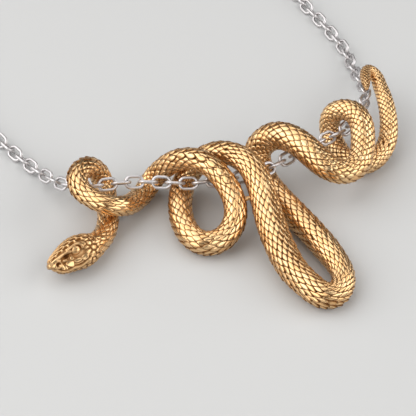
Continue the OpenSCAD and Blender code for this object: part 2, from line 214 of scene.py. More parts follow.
def section_reach(s, f):
    """Distance from the middle to the plain skin, at angle f from the top."""
    half, rise, drop, square = section(s)
    tall = np.where(np.cos(f) > 0, rise, drop)
    part_up = (np.abs(np.cos(f)) / tall) ** square
    part_across = (np.abs(np.sin(f)) / half) ** square
    return (part_up + part_across) ** (-1 / square)


# Mesh and node helpers

def add_mesh(name, points, faces, material):
    """A smooth mesh object in metres from points in millimetres."""
    mesh = bpy.data.meshes.new(name)
    mesh.from_pydata((np.asarray(points) * MM).tolist(), [], faces)
    mesh.materials.append(material)
    mesh.shade_smooth()
    mesh.update()
    made = bpy.data.objects.new(name, mesh)
    bpy.context.scene.collection.objects.link(made)
    return made


def tube_faces(rings, around):
    """Quads of a tube of rings, closed with a pole point at each end, which come last."""
    faces = []
    for i in range(rings - 1):
        for k in range(around):
            a, b = i * around + k, i * around + (k + 1) % around
            faces.append((a, a + around, b + around, b))
    first, last = rings * around, rings * around + 1
    end = (rings - 1) * around
    for k in range(around):
        faces.append((first, k, (k + 1) % around))
        faces.append((last, end + (k + 1) % around, end + k))
    return faces


def keep_attribute(mesh, name, values, kind="FLOAT"):
    """Stores one value for each point of a mesh."""
    made = mesh.attributes.new(name, kind, "POINT")
    made.data.foreach_set("vector" if kind == "FLOAT_VECTOR" else "value",
                          np.asarray(values, dtype=np.float32).ravel())


def put(tree, kind, *feeds, **settings):
    """Adds a node with its settings, and feeds its input sockets in their order."""
    made = tree.nodes.new(kind)
    for name, value in settings.items():
        setattr(made, name, value)
    sockets = [s for s in made.inputs if s.enabled]
    for socket, value in zip(sockets, feeds):
        if isinstance(value, bpy.types.NodeSocket):
            tree.links.new(value, socket)
        elif value is not None:
            socket.default_value = value
    return made


def out(node):
    """The output socket that a node with its settings gives."""
    return next(s for s in node.outputs if s.enabled)


def calc(tree, operation, *values):
    """The result of a math node."""
    return out(put(tree, "ShaderNodeMath", *values, operation=operation))


def vector_calc(tree, operation, *values):
    """The result of a vector math node."""
    return out(put(tree, "ShaderNodeVectorMath", *values, operation=operation))


# Finishes

# Raised faces of the gold, from one plate to the next, and the dark brown of its recesses, partly
# patina and partly painted shade
GOLD_FACES = ((0.88, 0.53, 0.24, 1), (0.95, 0.65, 0.345, 1))
GOLD_PATINA_AND_SHADE = ((0.11, 0.042, 0.01, 1), (0.22, 0.09, 0.024, 1))
# Bright silver and its tarnished patches
SILVER_TONES = ((0.61, 0.585, 0.585, 1), (0.37, 0.335, 0.32, 1))
# How fine the cloudy patches and the grain of each metal are, as noise scales for a metre
GOLD_CLOUDS = 260.0
GOLD_GRAIN = 6500.0
SILVER_CLOUDS = 420.0
SILVER_GRAIN = 5200.0
GRAIN_DETAIL = 4.0


def surface(name, metallic=1.0):
    """A new material with its node tree and main shader."""
    made = bpy.data.materials.new(name)
    made.use_nodes = True
    shader = made.node_tree.nodes["Principled BSDF"]
    shader.inputs["Metallic"].default_value = metallic
    return made, made.node_tree, shader


def noise(tree, where, scale, detail=3.0, roughness=0.55):
    """Noise of about 0.3 to 0.7 at each place."""
    return out(put(tree, "ShaderNodeTexNoise", where, None, scale, detail, roughness))


def ranged(tree, value, low, high, to_low, to_high):
    """A value from low to high, moved to the range from to_low to to_high."""
    return out(put(tree, "ShaderNodeMapRange", value, low, high, to_low, to_high))


def mixed(tree, share, first, second):
    """Two colours mixed by a share."""
    node = tree.nodes.new("ShaderNodeMix")
    node.data_type = "RGBA"
    sockets = (node.inputs[0], node.inputs[6], node.inputs[7])
    for socket, value in zip(sockets, (share, first, second)):
        if isinstance(value, bpy.types.NodeSocket):
            tree.links.new(value, socket)
        else:
            socket.default_value = value
    return node.outputs[2]


def grained(tree, shader, grain, strength, height):
    """Gives the surface its grain as a bump of a height in metres."""
    relief = put(tree, "ShaderNodeBump", strength, height)
    tree.links.new(grain, relief.inputs["Height"])
    tree.links.new(relief.outputs["Normal"], shader.inputs["Normal"])


def gold_finish():
    """Cast gold: bright on the raised faces, brown and duller in the recesses, where the brown is
    partly patina and partly painted shade.
    """
    made, tree, shader = surface("cast_gold")
    where = put(tree, "ShaderNodeTexCoord").outputs["Object"]
    light_share = put(tree, "ShaderNodeAttribute", attribute_name="light_share").outputs["Fac"]
    tone = put(tree, "ShaderNodeAttribute", attribute_name="tone").outputs["Fac"]
    cloud = noise(tree, where, GOLD_CLOUDS)
    grain = noise(tree, where, GOLD_GRAIN, GRAIN_DETAIL)
    # painted shade: the low parts take the dark recess colour, under a cloudy wear
    high = ranged(tree, light_share, 0.24, 0.95, 0.0, 1.0)
    light_and_wear = calc(tree, "MULTIPLY", high, ranged(tree, cloud, 0.3, 0.7, 0.86, 1.0))
    face = mixed(tree, tone, *GOLD_FACES)
    patina_and_shade = mixed(tree, cloud, *GOLD_PATINA_AND_SHADE)
    tree.links.new(mixed(tree, light_and_wear, patina_and_shade, face), shader.inputs["Base Color"])
    dull = ranged(tree, light_and_wear, 0.0, 1.0, 0.5, 0.24)
    spread = ranged(tree, grain, 0.3, 0.7, -0.05, 0.06)
    tree.links.new(calc(tree, "ADD", dull, spread), shader.inputs["Roughness"])
    grained(tree, shader, grain, 0.25, 0.00002)
    return made


def silver_finish():
    """Silver wire with a soft polish, and a light tarnish in patches."""
    made, tree, shader = surface("polished_silver")
    where = put(tree, "ShaderNodeTexCoord").outputs["Object"]
    cloud = noise(tree, where, SILVER_CLOUDS)
    grain = noise(tree, where, SILVER_GRAIN, GRAIN_DETAIL)
    patch = ranged(tree, cloud, 0.52, 0.72, 0.0, 0.5)
    tree.links.new(mixed(tree, patch, *SILVER_TONES), shader.inputs["Base Color"])
    tree.links.new(ranged(tree, cloud, 0.3, 0.75, 0.36, 0.5), shader.inputs["Roughness"])
    grained(tree, shader, grain, 0.12, 0.00001)
    return made


GOLD = gold_finish()
SILVER = silver_finish()

# The skin of the body

# The first row's distance from the snout, and how far before the tail's tip the rows end
PLATES_FROM = 6.9
TAIL_BARE = 0.4
# Stretches of the skin: where each ends, plates round the body, half the length of a plate in
# steps between rows, and its width in shares of the way round
SKIN_PARTS = ((94, 10, 1.15, 1.0), (134, 14, 1.15, 1.0), (168, 11, 1.14, 1.0),
              (199, 10, 1.06, 0.96), (211, 9, 1.02, 0.95), (LONG, 8, 1.0, 0.98))
# Distance from the snout, the step between rows on a straight body, and the tilt
SKIN_LAY = np.array([
    (6.9, 0.74, -0.12), (7.8, 0.74, -0.02), (9, 0.76, 0.07), (12, 0.78, 0.09), (22, 0.84, 0.1),
    (40, 0.84, 0.11), (62, 0.82, 0.12), (80, 0.8, 0.12), (88, 0.76, 0.12), (96, 0.82, 0.13),
    (112, 0.86, 0.13), (132, 0.84, 0.13), (142, 0.76, 0.13), (152, 0.72, 0.13), (164, 0.66, 0.12),
    (172, 0.6, 0.1), (190, 0.54, 0.09), (205, 0.46, 0.08), (219, 0.3, 0.06)])
# The row of broad plates along the back of the first arch: distance from the snout, and turn
# in degrees. The other values are as for the stretches, and how far the row is raised.
BACK_ROW = np.array([(51.6, 76.5), (53.8, 71), (55, 65), (56.5, 58), (58, 55), (61, 53)])
BACK_STEP = 1.45
BACK_OVERLAP = 0.58
BACK_FILL = 0.105
BACK_RAISED = 0.17
# Inside a bend the skin keeps to this share of the bend's radius
BEND_SHARE = 0.82
# How much closer the rows are in a bend
TIGHTENED = 0.5
PLATE_HEIGHT = 0.32
# On a body thinner than this, the plates are thinner too
THIN_FROM = 1.3
THINNEST = 0.25
# How much the plates differ in size and in tilt, as factors, and how far each rolls and turns
# from its place, in radians
UNEVENNESS = 0.07
LEAN_RANGE = (0.7, 1.3)
ROLL = 0.15
YAW = 0.09
SKIN_SEED = 11
BACK_SEED = 31
# How far the core lies under the plates
CORE_UNDER = 0.2
# The least bend that counts as one, in 1/m, and the least share of its length that a plate keeps
STRAIGHT = 10.0
SHORTEST = 0.3


def scale_plate():
    """One closed domed plate, 2 units long and 2 wide, with its tip towards +x."""
    outline = np.array([(-1, 0), (-0.62, 0.5), (-0.1, 0.98), (0.32, 0.92), (0.74, 0.55),
                        (1, 0), (0.74, -0.55), (0.32, -0.92), (-0.1, -0.98), (-0.62, -0.5)])
    # share of the outline's length and width, height in plate heights, and how raised it is, which
    # sets its share of painted light: the low rims get the painted shade of the recesses
    levels = ((0.94, 0.92, -1.0, 0.0), (1.0, 1.0, -0.62, 0.08), (0.94, 0.84, -0.38, 0.32),
              (0.8, 0.52, -0.12, 0.86), (0.6, 0.2, 0.0, 1.0))
    points = [(x * long, y * wide, z) for long, wide, z, _ in levels for x, y in outline]
    n = len(outline)
    faces = [tuple(range(n))]
    for ring in range(len(levels) - 1):
        for k in range(n):
            a, b = ring * n + k, ring * n + (k + 1) % n
            faces.append((a, a + n, b + n, b))
    faces.append(tuple(range(len(points) - 1, len(points) - 1 - n, -1)))
    mesh = bpy.data.meshes.new("plate")
    mesh.from_pydata(points, [], faces)
    keep_attribute(mesh, "light_share", [light_share for *_, light_share in levels for _ in outline])
    mesh.materials.append(GOLD)
    mesh.shade_smooth()
    mesh.update()
    return bpy.data.objects.new("plate", mesh)


def lay(s, column):
    """A column of SKIN_LAY at distances s: 1 is the step and 2 the tilt."""
    return np.interp(s, SKIN_LAY[:, 0], SKIN_LAY[:, column])


def skin_rows():
    """Distances from the snout of the rows, closer where the body is thin or bends sharply."""
    rows = [PLATES_FROM]
    while rows[-1] < LONG - TAIL_BARE:
        at = rows[-1]
        radius = float(thick(at))
        bent = float(np.linalg.norm(spine(np.array([at]))[-1]))
        rows.append(at + lay(at, 1) / (1 + TIGHTENED * bent * radius))
    return np.array(rows)


def named(tree, name, kind="FLOAT"):
    """An attribute of the rows, read by its name."""
    return out(put(tree, "GeometryNodeInputNamedAttribute", name, data_type=kind))


def skin_inputs(tree):
    """Gives the tree its inputs and its output, and returns the inputs as sockets."""
    face = tree.interface
    face.new_socket("Geometry", in_out="INPUT", socket_type="NodeSocketGeometry")
    for name, kind in (("Plate", "NodeSocketObject"), ("Plates round", "NodeSocketInt"),
                       ("Plate height", "NodeSocketFloat"), ("Overlap", "NodeSocketFloat"),
                       ("Fill", "NodeSocketFloat"), ("Bend share", "NodeSocketFloat"),
                       ("Unevenness", "NodeSocketFloat"), ("Seed", "NodeSocketInt"),
                       ("Finish", "NodeSocketMaterial")):
        face.new_socket(name, in_out="INPUT", socket_type=kind)
    face.new_socket("Geometry", in_out="OUTPUT", socket_type="NodeSocketGeometry")
    return tree.nodes.new("NodeGroupInput").outputs


def chance(tree, given, low, high, extra):
    """A random value for each plate, where extra sets each use apart from the others."""
    seed = calc(tree, "ADD", given["Seed"], extra)
    return out(put(tree, "FunctionNodeRandomValue", low, high, None, seed, data_type="FLOAT"))


def edge_reach(tree, up, across):
    """What section_reach gives, from the cosine and the sine of the angle."""
    is_top = calc(tree, "GREATER_THAN", up, 0.0)
    tall = calc(tree, "ADD", calc(tree, "MULTIPLY", is_top, named(tree, "rise")),
                calc(tree, "MULTIPLY", calc(tree, "SUBTRACT", 1.0, is_top), named(tree, "drop")))
    square = named(tree, "square")
    parts = [calc(tree, "POWER", calc(tree, "DIVIDE", calc(tree, "ABSOLUTE", way), size), square)
             for way, size in ((up, tall), (across, named(tree, "half")))]
    return calc(tree, "POWER", calc(tree, "ADD", *parts), calc(tree, "DIVIDE", -1.0, square))


def plate_turn(tree, given, outward, ahead):
    """Each plate faces outward with its tip away from the snout, tilted and turned a little."""
    lean = calc(tree, "MULTIPLY", named(tree, "tilt"), chance(tree, given, *LEAN_RANGE, 1))
    turns = put(tree, "ShaderNodeCombineXYZ", chance(tree, given, -ROLL, ROLL, 2),
                calc(tree, "MULTIPLY", lean, -1.0), chance(tree, given, -YAW, YAW, 3))
    change = put(tree, "FunctionNodeEulerToRotation", out(turns))
    base = put(tree, "FunctionNodeAxesToRotation", outward, ahead,
               primary_axis="Z", secondary_axis="X")
    return out(put(tree, "FunctionNodeRotateRotation", out(base), out(change),
                   rotation_space="LOCAL"))


def plate_size(tree, given, reach, inward):
    """Half of each plate's length, longer outside a bend and shorter in it, and of its width,
    both a little uneven, and its height."""
    bent = calc(tree, "SUBTRACT", 1.0, calc(tree, "MULTIPLY", inward, reach))
    length = calc(tree, "MULTIPLY", named(tree, "pace"), given["Overlap"])
    length = calc(tree, "MULTIPLY", length, calc(tree, "MAXIMUM", bent, SHORTEST))
    width = calc(tree, "DIVIDE", calc(tree, "MULTIPLY", reach, math.pi), given["Plates round"])
    width = calc(tree, "MULTIPLY", width, given["Fill"])
    halves = []
    for half, extra in ((length, 4), (width, 5)):
        change = calc(tree, "MULTIPLY", given["Unevenness"], chance(tree, given, -1, 1, extra))
        halves.append(calc(tree, "MULTIPLY", half, calc(tree, "ADD", 1.0, change)))
    height = calc(tree, "MULTIPLY", given["Plate height"], named(tree, "thinning"))
    return out(put(tree, "ShaderNodeCombineXYZ", *halves, height))


def skin_tree():
    """Geometry Nodes that set a ring of plates round each point of the snake's middle line."""
    tree = bpy.data.node_groups.new("snake_skin", "GeometryNodeTree")
    given = skin_inputs(tree)

    # a copy of each row's point for each plate round the body, and the way out at its angle
    copies = put(tree, "GeometryNodeDuplicateElements", given["Geometry"], None,
                 given["Plates round"], domain="POINT")
    place = calc(tree, "ADD", copies.outputs["Duplicate Index"], named(tree, "offset"))
    angle = calc(tree, "MULTIPLY", calc(tree, "DIVIDE", place, given["Plates round"]), math.tau)
    up, across = calc(tree, "COSINE", angle), calc(tree, "SINE", angle)
    top = named(tree, "top", "FLOAT_VECTOR")
    ahead = named(tree, "ahead", "FLOAT_VECTOR")
    side = vector_calc(tree, "CROSS_PRODUCT", ahead, top)
    outward = vector_calc(tree, "ADD", vector_calc(tree, "SCALE", top, up),
                          vector_calc(tree, "SCALE", side, across))

    # each copy moves out to the edge of the section, or less far inside a bend
    inward = vector_calc(tree, "DOT_PRODUCT", named(tree, "bend", "FLOAT_VECTOR"), outward)
    most = calc(tree, "DIVIDE", given["Bend share"], calc(tree, "MAXIMUM", inward, STRAIGHT))
    reach = calc(tree, "MINIMUM", edge_reach(tree, up, across), most)
    moved = put(tree, "GeometryNodeSetPosition", copies.outputs["Geometry"], None, None,
                vector_calc(tree, "SCALE", outward, reach))

    # the plates are placed, given a tone each, and made real
    plate = put(tree, "GeometryNodeObjectInfo", given["Plate"], True).outputs["Geometry"]
    placed = put(tree, "GeometryNodeInstanceOnPoints", moved.outputs[0], None, plate, None, None,
                 plate_turn(tree, given, outward, ahead), plate_size(tree, given, reach, inward))
    toned = put(tree, "GeometryNodeStoreNamedAttribute", placed.outputs[0], None, "tone",
                chance(tree, given, 0.0, 1.0, 6), data_type="FLOAT", domain="INSTANCE")
    real = put(tree, "GeometryNodeRealizeInstances", toned.outputs[0])
    dressed = put(tree, "GeometryNodeSetMaterial", real.outputs[0], None, given["Finish"])
    end = tree.nodes.new("NodeGroupOutput")
    tree.links.new(dressed.outputs[0], end.inputs[0])
    return tree


def grown(obj, tree, inputs):
    """Runs a node tree on an object and keeps the result as its plain mesh."""
    modifier = obj.modifiers.new(tree.name, "NODES")
    modifier.node_group = tree
    for item in tree.interface.items_tree:
        if item.in_out == "INPUT" and item.name in inputs:
            modifier[item.identifier] = inputs[item.name]
    seen = obj.evaluated_get(bpy.context.evaluated_depsgraph_get())
    mesh = bpy.data.meshes.new_from_object(seen)
    obj.modifiers.remove(modifier)
    obj.data = mesh
    return obj


def plate_rows(name, rows, offset, inputs, raised=0.0):
    """Rings of plates round the body at distances rows, turned by offset plates."""
    mids, ahead, tops, _, bend = spine(rows)
    mesh = bpy.data.meshes.new("rows")
    mesh.from_pydata((mids * MM).tolist(), [], [])
    keep_attribute(mesh, "ahead", ahead, "FLOAT_VECTOR")
    keep_attribute(mesh, "top", tops, "FLOAT_VECTOR")
    keep_attribute(mesh, "bend", bend / MM, "FLOAT_VECTOR")
    sizes = section(rows)
    for size, values in zip(("half", "rise", "drop"), sizes):
        keep_attribute(mesh, size, (values + raised) * MM)
    keep_attribute(mesh, "square", sizes[3])
    keep_attribute(mesh, "pace", np.gradient(rows) * MM)
    keep_attribute(mesh, "tilt", lay(rows, 2))
    keep_attribute(mesh, "thinning", np.clip(thick(rows) / THIN_FROM, THINNEST, 1))
    keep_attribute(mesh, "offset", offset)
    made = bpy.data.objects.new(name, mesh)
    bpy.context.scene.collection.objects.link(made)
    return grown(made, skin_tree(), inputs)


def make_skin():
    """The plates of the body, in stretches that each stay a modest mesh."""
    plate = scale_plate()
    bpy.context.scene.collection.objects.link(plate)
    shared = {"Plate": plate, "Plate height": PLATE_HEIGHT * MM, "Bend share": BEND_SHARE,
              "Unevenness": UNEVENNESS, "Finish": GOLD}
    rows = skin_rows()
    pieces = []
    since = 0
    for number, (until, around, overlap, fill) in enumerate(SKIN_PARTS):
        part = np.flatnonzero((rows >= since) & (rows < until))
        since = until
        pieces.append(plate_rows(f"snake_scales_{number + 1}", rows[part], 0.5 * (part % 2), {
            **shared, "Plates round": around, "Overlap": overlap, "Fill": fill,
            "Seed": SKIN_SEED + number}))
    rows = np.arange(BACK_ROW[0, 0], BACK_ROW[-1, 0], BACK_STEP)
    turn = np.interp(rows, BACK_ROW[:, 0], BACK_ROW[:, 1]) / 360
    pieces.append(plate_rows("snake_back_scales", rows, turn, {
        **shared, "Plates round": 1, "Overlap": BACK_OVERLAP, "Fill": BACK_FILL,
        "Seed": BACK_SEED}, raised=BACK_RAISED))
    bpy.data.objects.remove(plate)
    return pieces


# The core under the plates

CORE_AROUND = 28
CORE_FROM = 6.8
CORE_STEP = 0.55
# On a body thinner than this, the core lies less deep
CORE_THIN_FROM = 1.2
# The tail's tip, which shows bare, and how far its last point stands out
TIP_LENGTH = 0.9
TIP_STEP = 0.15
TIP_POINT = 0.25
# How much painted light the core and the tail's tip get; the rest is the recesses' dark colour
CORE_LIGHT_SHARE = 0.12
TIP_LIGHT_SHARE = 0.8


def directions(turns, tops, sides):
    """The ways out of the body at angles turns from the top, a row for each top and side."""
    return (np.cos(turns)[None, :, None] * tops[:, None]
            + np.sin(turns)[None, :, None] * sides[:, None])


def make_core():
    """The body under the plates, dark with the recesses' patina and painted shade, from inside the
    head to the tip of the tail.
    """
    s = np.concatenate([np.arange(CORE_FROM, LONG - 1, CORE_STEP),
                        np.arange(LONG - TIP_LENGTH, LONG, TIP_STEP)])
    mids, ahead, tops, sides, bend = spine(s)
    turns = np.arange(CORE_AROUND) * math.tau / CORE_AROUND
    outward = directions(turns, tops, sides)
    inward = np.maximum(np.einsum("sc,sfc->sf", bend, outward), STRAIGHT * MM)
    reach = np.minimum(section_reach(s[:, None], turns[None]), BEND_SHARE / inward)
    reach = reach - CORE_UNDER * ramp(thick(s) / CORE_THIN_FROM)[:, None]
    points = mids[:, None] + reach[..., None] * outward
    tip = mids[-1] + TIP_POINT * ahead[-1]
    points = np.concatenate([points.reshape(-1, 3), [mids[0], tip]])
    made = add_mesh("snake_body", points, tube_faces(len(s), CORE_AROUND), GOLD)
    # no plates cover the tip, so it gets little painted shade and is as bright as they are
    bare = CORE_LIGHT_SHARE + 0.7 * ramp((np.repeat(s, CORE_AROUND) - LONG + TIP_LENGTH) / 0.5)
    keep_attribute(made.data, "light_share", np.concatenate([bare, [CORE_LIGHT_SHARE, TIP_LIGHT_SHARE]]))
    keep_attribute(made.data, "tone", np.full(len(points), 0.3))
    return made


# The head. Places on it are a distance from the snout and an angle from the top.

EYE = (3.7, 73)
EYE_RADIUS = 0.6
EYE_RISE = 0.5
PUPIL = (3.58, 76)
SOCKET = (3.78, 81)
SOCKET_RADIUS = 0.98
SOCKET_DEPTH = 0.3
PIT = (2.3, 71)
PIT_LENGTH = 1.5
PIT_RADIUS = 0.27
HOLLOW = (1.75, 86)
HOLLOW_BALL = (1.8, 87)
NOSTRIL = (0.95, 91)
NOSTRIL_BALL = (1.05, 98)
NOSTRIL_RADIUS = 0.4
NOSTRIL_RIM = 0.14
# The ridge from the snout to the eye, the brow over it, and the mouth
CANTHUS = np.array([(0, 62), (0.4, 59), (1.2, 60), (2.15, 58), (2.7, 63), (3.05, 67)])
BROW = np.array([(2.65, 52), (3.35, 54), (3.9, 51), (4.3, 54), (4.58, 63), (4.55, 73)])
MOUTH = np.array([(0, 110), (0.45, 119), (0.95, 129), (1.6, 135), (2.15, 130), (2.7, 125),
                  (3.1, 130), (3.6, 130), (4.2, 123), (4.6, 117), (5.0, 112), (5.5, 109)])
MOUTH_END = 5.5
MOUTH_DEPTH = 0.2
# Fine points for each mark of these lines, and how often the lines are evened out
MARK_STEPS = 6
MARK_PASSES = 14
# Half width and height of the ridge, which narrows by its taper along the head, and of its
# fine crest and the brow
RIDGE_BAND = (0.27, 0.16)
RIDGE_TAPER = 0.04
CREST_BAND = (0.14, 0.14)
BROW_BAND = (0.17, 0.24)
# How far each lip's middle lies below the mouth, its half width and its height
LOWER_LIP = (0.38, 0.24, 0.12)
UPPER_LIP = (-0.17, 0.1, 0.1)
UPPER_LIP_FROM = 0.9
# Plates of the face: distance, angle, half length, half width, slant in degrees, and height
FACE_PLATES = (
    (0.3, 84, 0.2, 0.32, 10, 0.07), (0.62, 109, 0.3, 0.15, 25, 0.08),
    (1.28, 114, 0.17, 0.33, -8, 0.11), (1.62, 121, 0.13, 0.3, 10, 0.1),
    (2.25, 110, 0.5, 0.36, 28, 0.17), (2.75, 92, 0.22, 0.24, 0, 0.1),
    (3.4, 110, 0.52, 0.2, 0, 0.15), (4.5, 107, 0.6, 0.3, -18, 0.16),
    (4.0, 123, 0.2, 0.1, -20, 0.08), (2.05, 88, 0.1, 0.22, 15, 0.07),
    (1.15, 72, 0.3, 0.1, 12, 0.06))
# How much more a plate of the face stands out at its lower edge than at its middle
PLATE_SLOPE = 0.9
# Middles of the scales behind the eye
TEMPLE_SEEDS = (
    (4.9, 64), (5.0, 79), (5.5, 66), (5.05, 93), (6.05, 88), (5.65, 110), (4.9, 132),
    (5.45, 49), (6.2, 50), (6.35, 69), (6.5, 108), (6.9, 85), (5.6, 136), (6.4, 128),
    (7.0, 62), (7.2, 104), (7.0, 126), (5.9, 33), (6.6, 35), (6.2, 14), (6.9, 18),
    (7.4, 44), (5.5, 158), (6.3, 150), (6.0, 174), (7.1, 148), (6.9, 171), (7.6, 0),
    (7.6, 78), (7.7, 120), (7.7, 165))
# The netted top reaches this far down and back, the plated side this far back, and the lower
# lip this far under the mouth
TOP_TURN = 47
TOP_END = 5.8
CHEEK_END = 4.65
LIP_DEPTH = 0.62
# Round hollows and balls of the face: place, radius, rise, and length for its width
FACE_ROUNDS = (
    (PIT, PIT_RADIUS, -0.42, PIT_LENGTH), (HOLLOW, 0.32, -0.2, 1), (NOSTRIL, 0.25, -0.32, 1),
    (NOSTRIL_BALL, 0.14, 0.16, 1), (HOLLOW_BALL, 0.19, 0.22, 1))
HEAD_END = 8.0
HEAD_STEP = 0.036
HEAD_AROUND = 288
# The snout is a rounded cap, whose last ring lies this share of a right angle before the
# head's first full ring
NOSE_LENGTH = 0.3
NOSE_RINGS = 9
NOSE_LAST = 0.08
# How far the tip of the lower jaw lies behind the snout
JAW_BACK = 0.42
# The scales of the body begin over the end of the head
HEAD_UNDER_FROM = 6.9
# How often the relief is evened out, along the head and round it
BLUR_PASSES = 2


def bump(x):
    """1 at 0, falling softly to nothing beyond 2."""
    return np.exp(-x * x)


def eased(x):
    """A soft step from 0 at 0 to 1 at 1."""
    x = ramp(x)
    return x * x * (3 - 2 * x)


def staggered(first, step, turn, turn_step, rows):
    """Seeds in rows of six along the head, where each second row is half a step further."""
    return [(first + step * (i + 0.5 * (row % 2)), turn + turn_step * row)
            for row in range(rows) for i in range(6)]


TOP_SEEDS = staggered(0.3, 0.96, 0, 13.5, 4)
THROAT_SEEDS = staggered(0.5, 0.9, 150, 15, 3)


def border(s, g, half, seeds, stretch=1.0):
    """Distance to the nearest border between the cells round the seeds."""
    near = np.full(s.shape, 9.0)
    second = np.full(s.shape, 9.0)
    for at, turn in seeds:
        gap = np.hypot((s - at) / stretch, np.radians(g - turn) * half)
        second = np.where(gap < near, near, np.minimum(second, gap))
        near = np.minimum(near, gap)
    return (second - near) / 2


def softened(marks):
    """A fine line through the marks, with its corners rounded off."""
    steps = np.arange(len(marks))
    fine = np.linspace(0, len(marks) - 1, MARK_STEPS * len(marks))
    line = np.stack([np.interp(fine, steps, marks[:, c]) for c in (0, 1)], axis=-1)
    return evened(line, MARK_PASSES)


MOUTH_LINE = softened(MOUTH)


def below_mouth(s, g):
    """How many degrees each point lies below the line of the mouth."""
    return g - np.interp(s, MOUTH_LINE[:, 0], MOUTH_LINE[:, 1])


def gap_to_line(s, g, half, marks):
    """Distance on the skin from each point to a line through the marks."""
    line = softened(marks)
    near = np.full(s.shape, 9.0)
    for (s0, g0), (s1, g1) in zip(line, line[1:]):
        run, rise = s1 - s0, np.radians(g1 - g0) * half
        away, over = s - s0, np.radians(g - g0) * half
        part = ramp((away * run + over * rise) / (run * run + rise * rise))
        near = np.minimum(near, np.hypot(away - part * run, over - part * rise))
    return near


def face_plate(s, g, half, at, turn, long, wide, slant):
    """How much each point lies on a plate, 1 on it and 0 off it, and how its face slopes."""
    away, over = s - at, np.radians(g - turn) * half
    slant = math.radians(slant)
    u = (away * math.cos(slant) + over * math.sin(slant)) / long
    v = (over * math.cos(slant) - away * math.sin(slant)) / wide
    share = eased((1.15 - (np.abs(u) ** 3 + np.abs(v) ** 3) ** (1 / 3)) / 0.32)
    return share, 1 + PLATE_SLOPE * np.clip(v, -1, 1)


def off(s, g, mark, long=1.0):
    """Distance on the skin from each point to a mark, divided by long along the head."""
    half = np.interp(s, HEAD_FORM[:, 0], HEAD_FORM[:, 1])
    return np.hypot((s - mark[0]) / long, np.radians(g - mark[1]) * half)


def head_cover(s, g, half, lip):
    """The net of thin ridges on the top, and the plump scales of the back and throat.

    Gives how far they stand out, their painted light with painted shade in the net's cells, between
    the scales and on the plain side, and the share of the plated side.
    """
    top = ramp((TOP_TURN - g) / 5) * ramp((TOP_END - s) / 0.4)
    back = ramp((s - CHEEK_END) / 0.4) * (1 - top)
    throat = ramp((lip - LIP_DEPTH) / 0.12) * (1 - back) * (1 - top)
    side = 1 - np.maximum(np.maximum(top, back), throat)
    net = bump(border(s, g, half, TOP_SEEDS, 1.9) / 0.075)
    plump = 1 - np.exp(-(border(s, g, half, [*TEMPLE_SEEDS, *THROAT_SEEDS]) / 0.1) ** 1.6)
    scaled = back + throat
    stand = top * (0.22 * net - 0.13) + scaled * (0.18 * plump - 0.1) - 0.08 * side
    # painted light on the ridges and the scales' middles, painted shade in the cells, between the
    # scales and on the plain side
    painted_light = top * 0.95 * net + scaled * (0.05 + 0.9 * plump) + 0.3 * side
    return stand, painted_light, side


def lip_band(lip, at, half, edge):
    """1 on a lip whose middle lies this far below the mouth, falling to 0 at its half width."""
    return eased((half - np.abs(lip - at)) / edge)


def face_bands(s, g, half, lip, shut):
    """The ridge to the eye with its crest, the brow and the two lips: shares and heights."""
    ridge = gap_to_line(s, g, half, CANTHUS)
    brow = gap_to_line(s, g, half, BROW)
    upper = shut * ramp((s - UPPER_LIP_FROM) / 0.3)
    return (
        (eased((RIDGE_BAND[0] - RIDGE_TAPER * s - ridge) / 0.14 + 0.5), RIDGE_BAND[1]),
        (bump(ridge / CREST_BAND[0]), CREST_BAND[1]),
        (eased((BROW_BAND[0] - brow) / 0.14 + 0.4), BROW_BAND[1]),
        (shut * lip_band(lip, *LOWER_LIP[:2], 0.12), LOWER_LIP[2]),
        (upper * lip_band(lip, *UPPER_LIP[:2], 0.08), UPPER_LIP[2]))


def face_shades(s, g, painted_light, seam):
    """The painted light, with painted shade in the hollows, round the eye and in the mouth's line,
    painted highlights on the balls inside them, and the pupil darkened.
    """
    eye, nostril = off(s, g, EYE), off(s, g, NOSTRIL)
    painted_shades = (
        (bump(off(s, g, PIT, PIT_LENGTH) / PIT_RADIUS), 0.9),
        (bump(nostril / 0.2), 0.8),
        (bump((off(s, g, HOLLOW) - 0.36) / 0.1), 0.7),
        (bump((eye - 0.66) / 0.07), 0.55),
        (seam, 0.9))
    for share, dark in painted_shades:
        painted_light = painted_light * (1 - dark * share)
    painted_highlights = (
        bump(off(s, g, NOSTRIL_BALL) / 0.14),
        bump(off(s, g, HOLLOW_BALL) / 0.2),
        eased((0.58 - eye) / 0.08))
    for share in painted_highlights:
        painted_light = np.maximum(painted_light, 0.9 * share)
    return painted_light * (1 - 0.75 * bump(off(s, g, PUPIL) / 0.15))


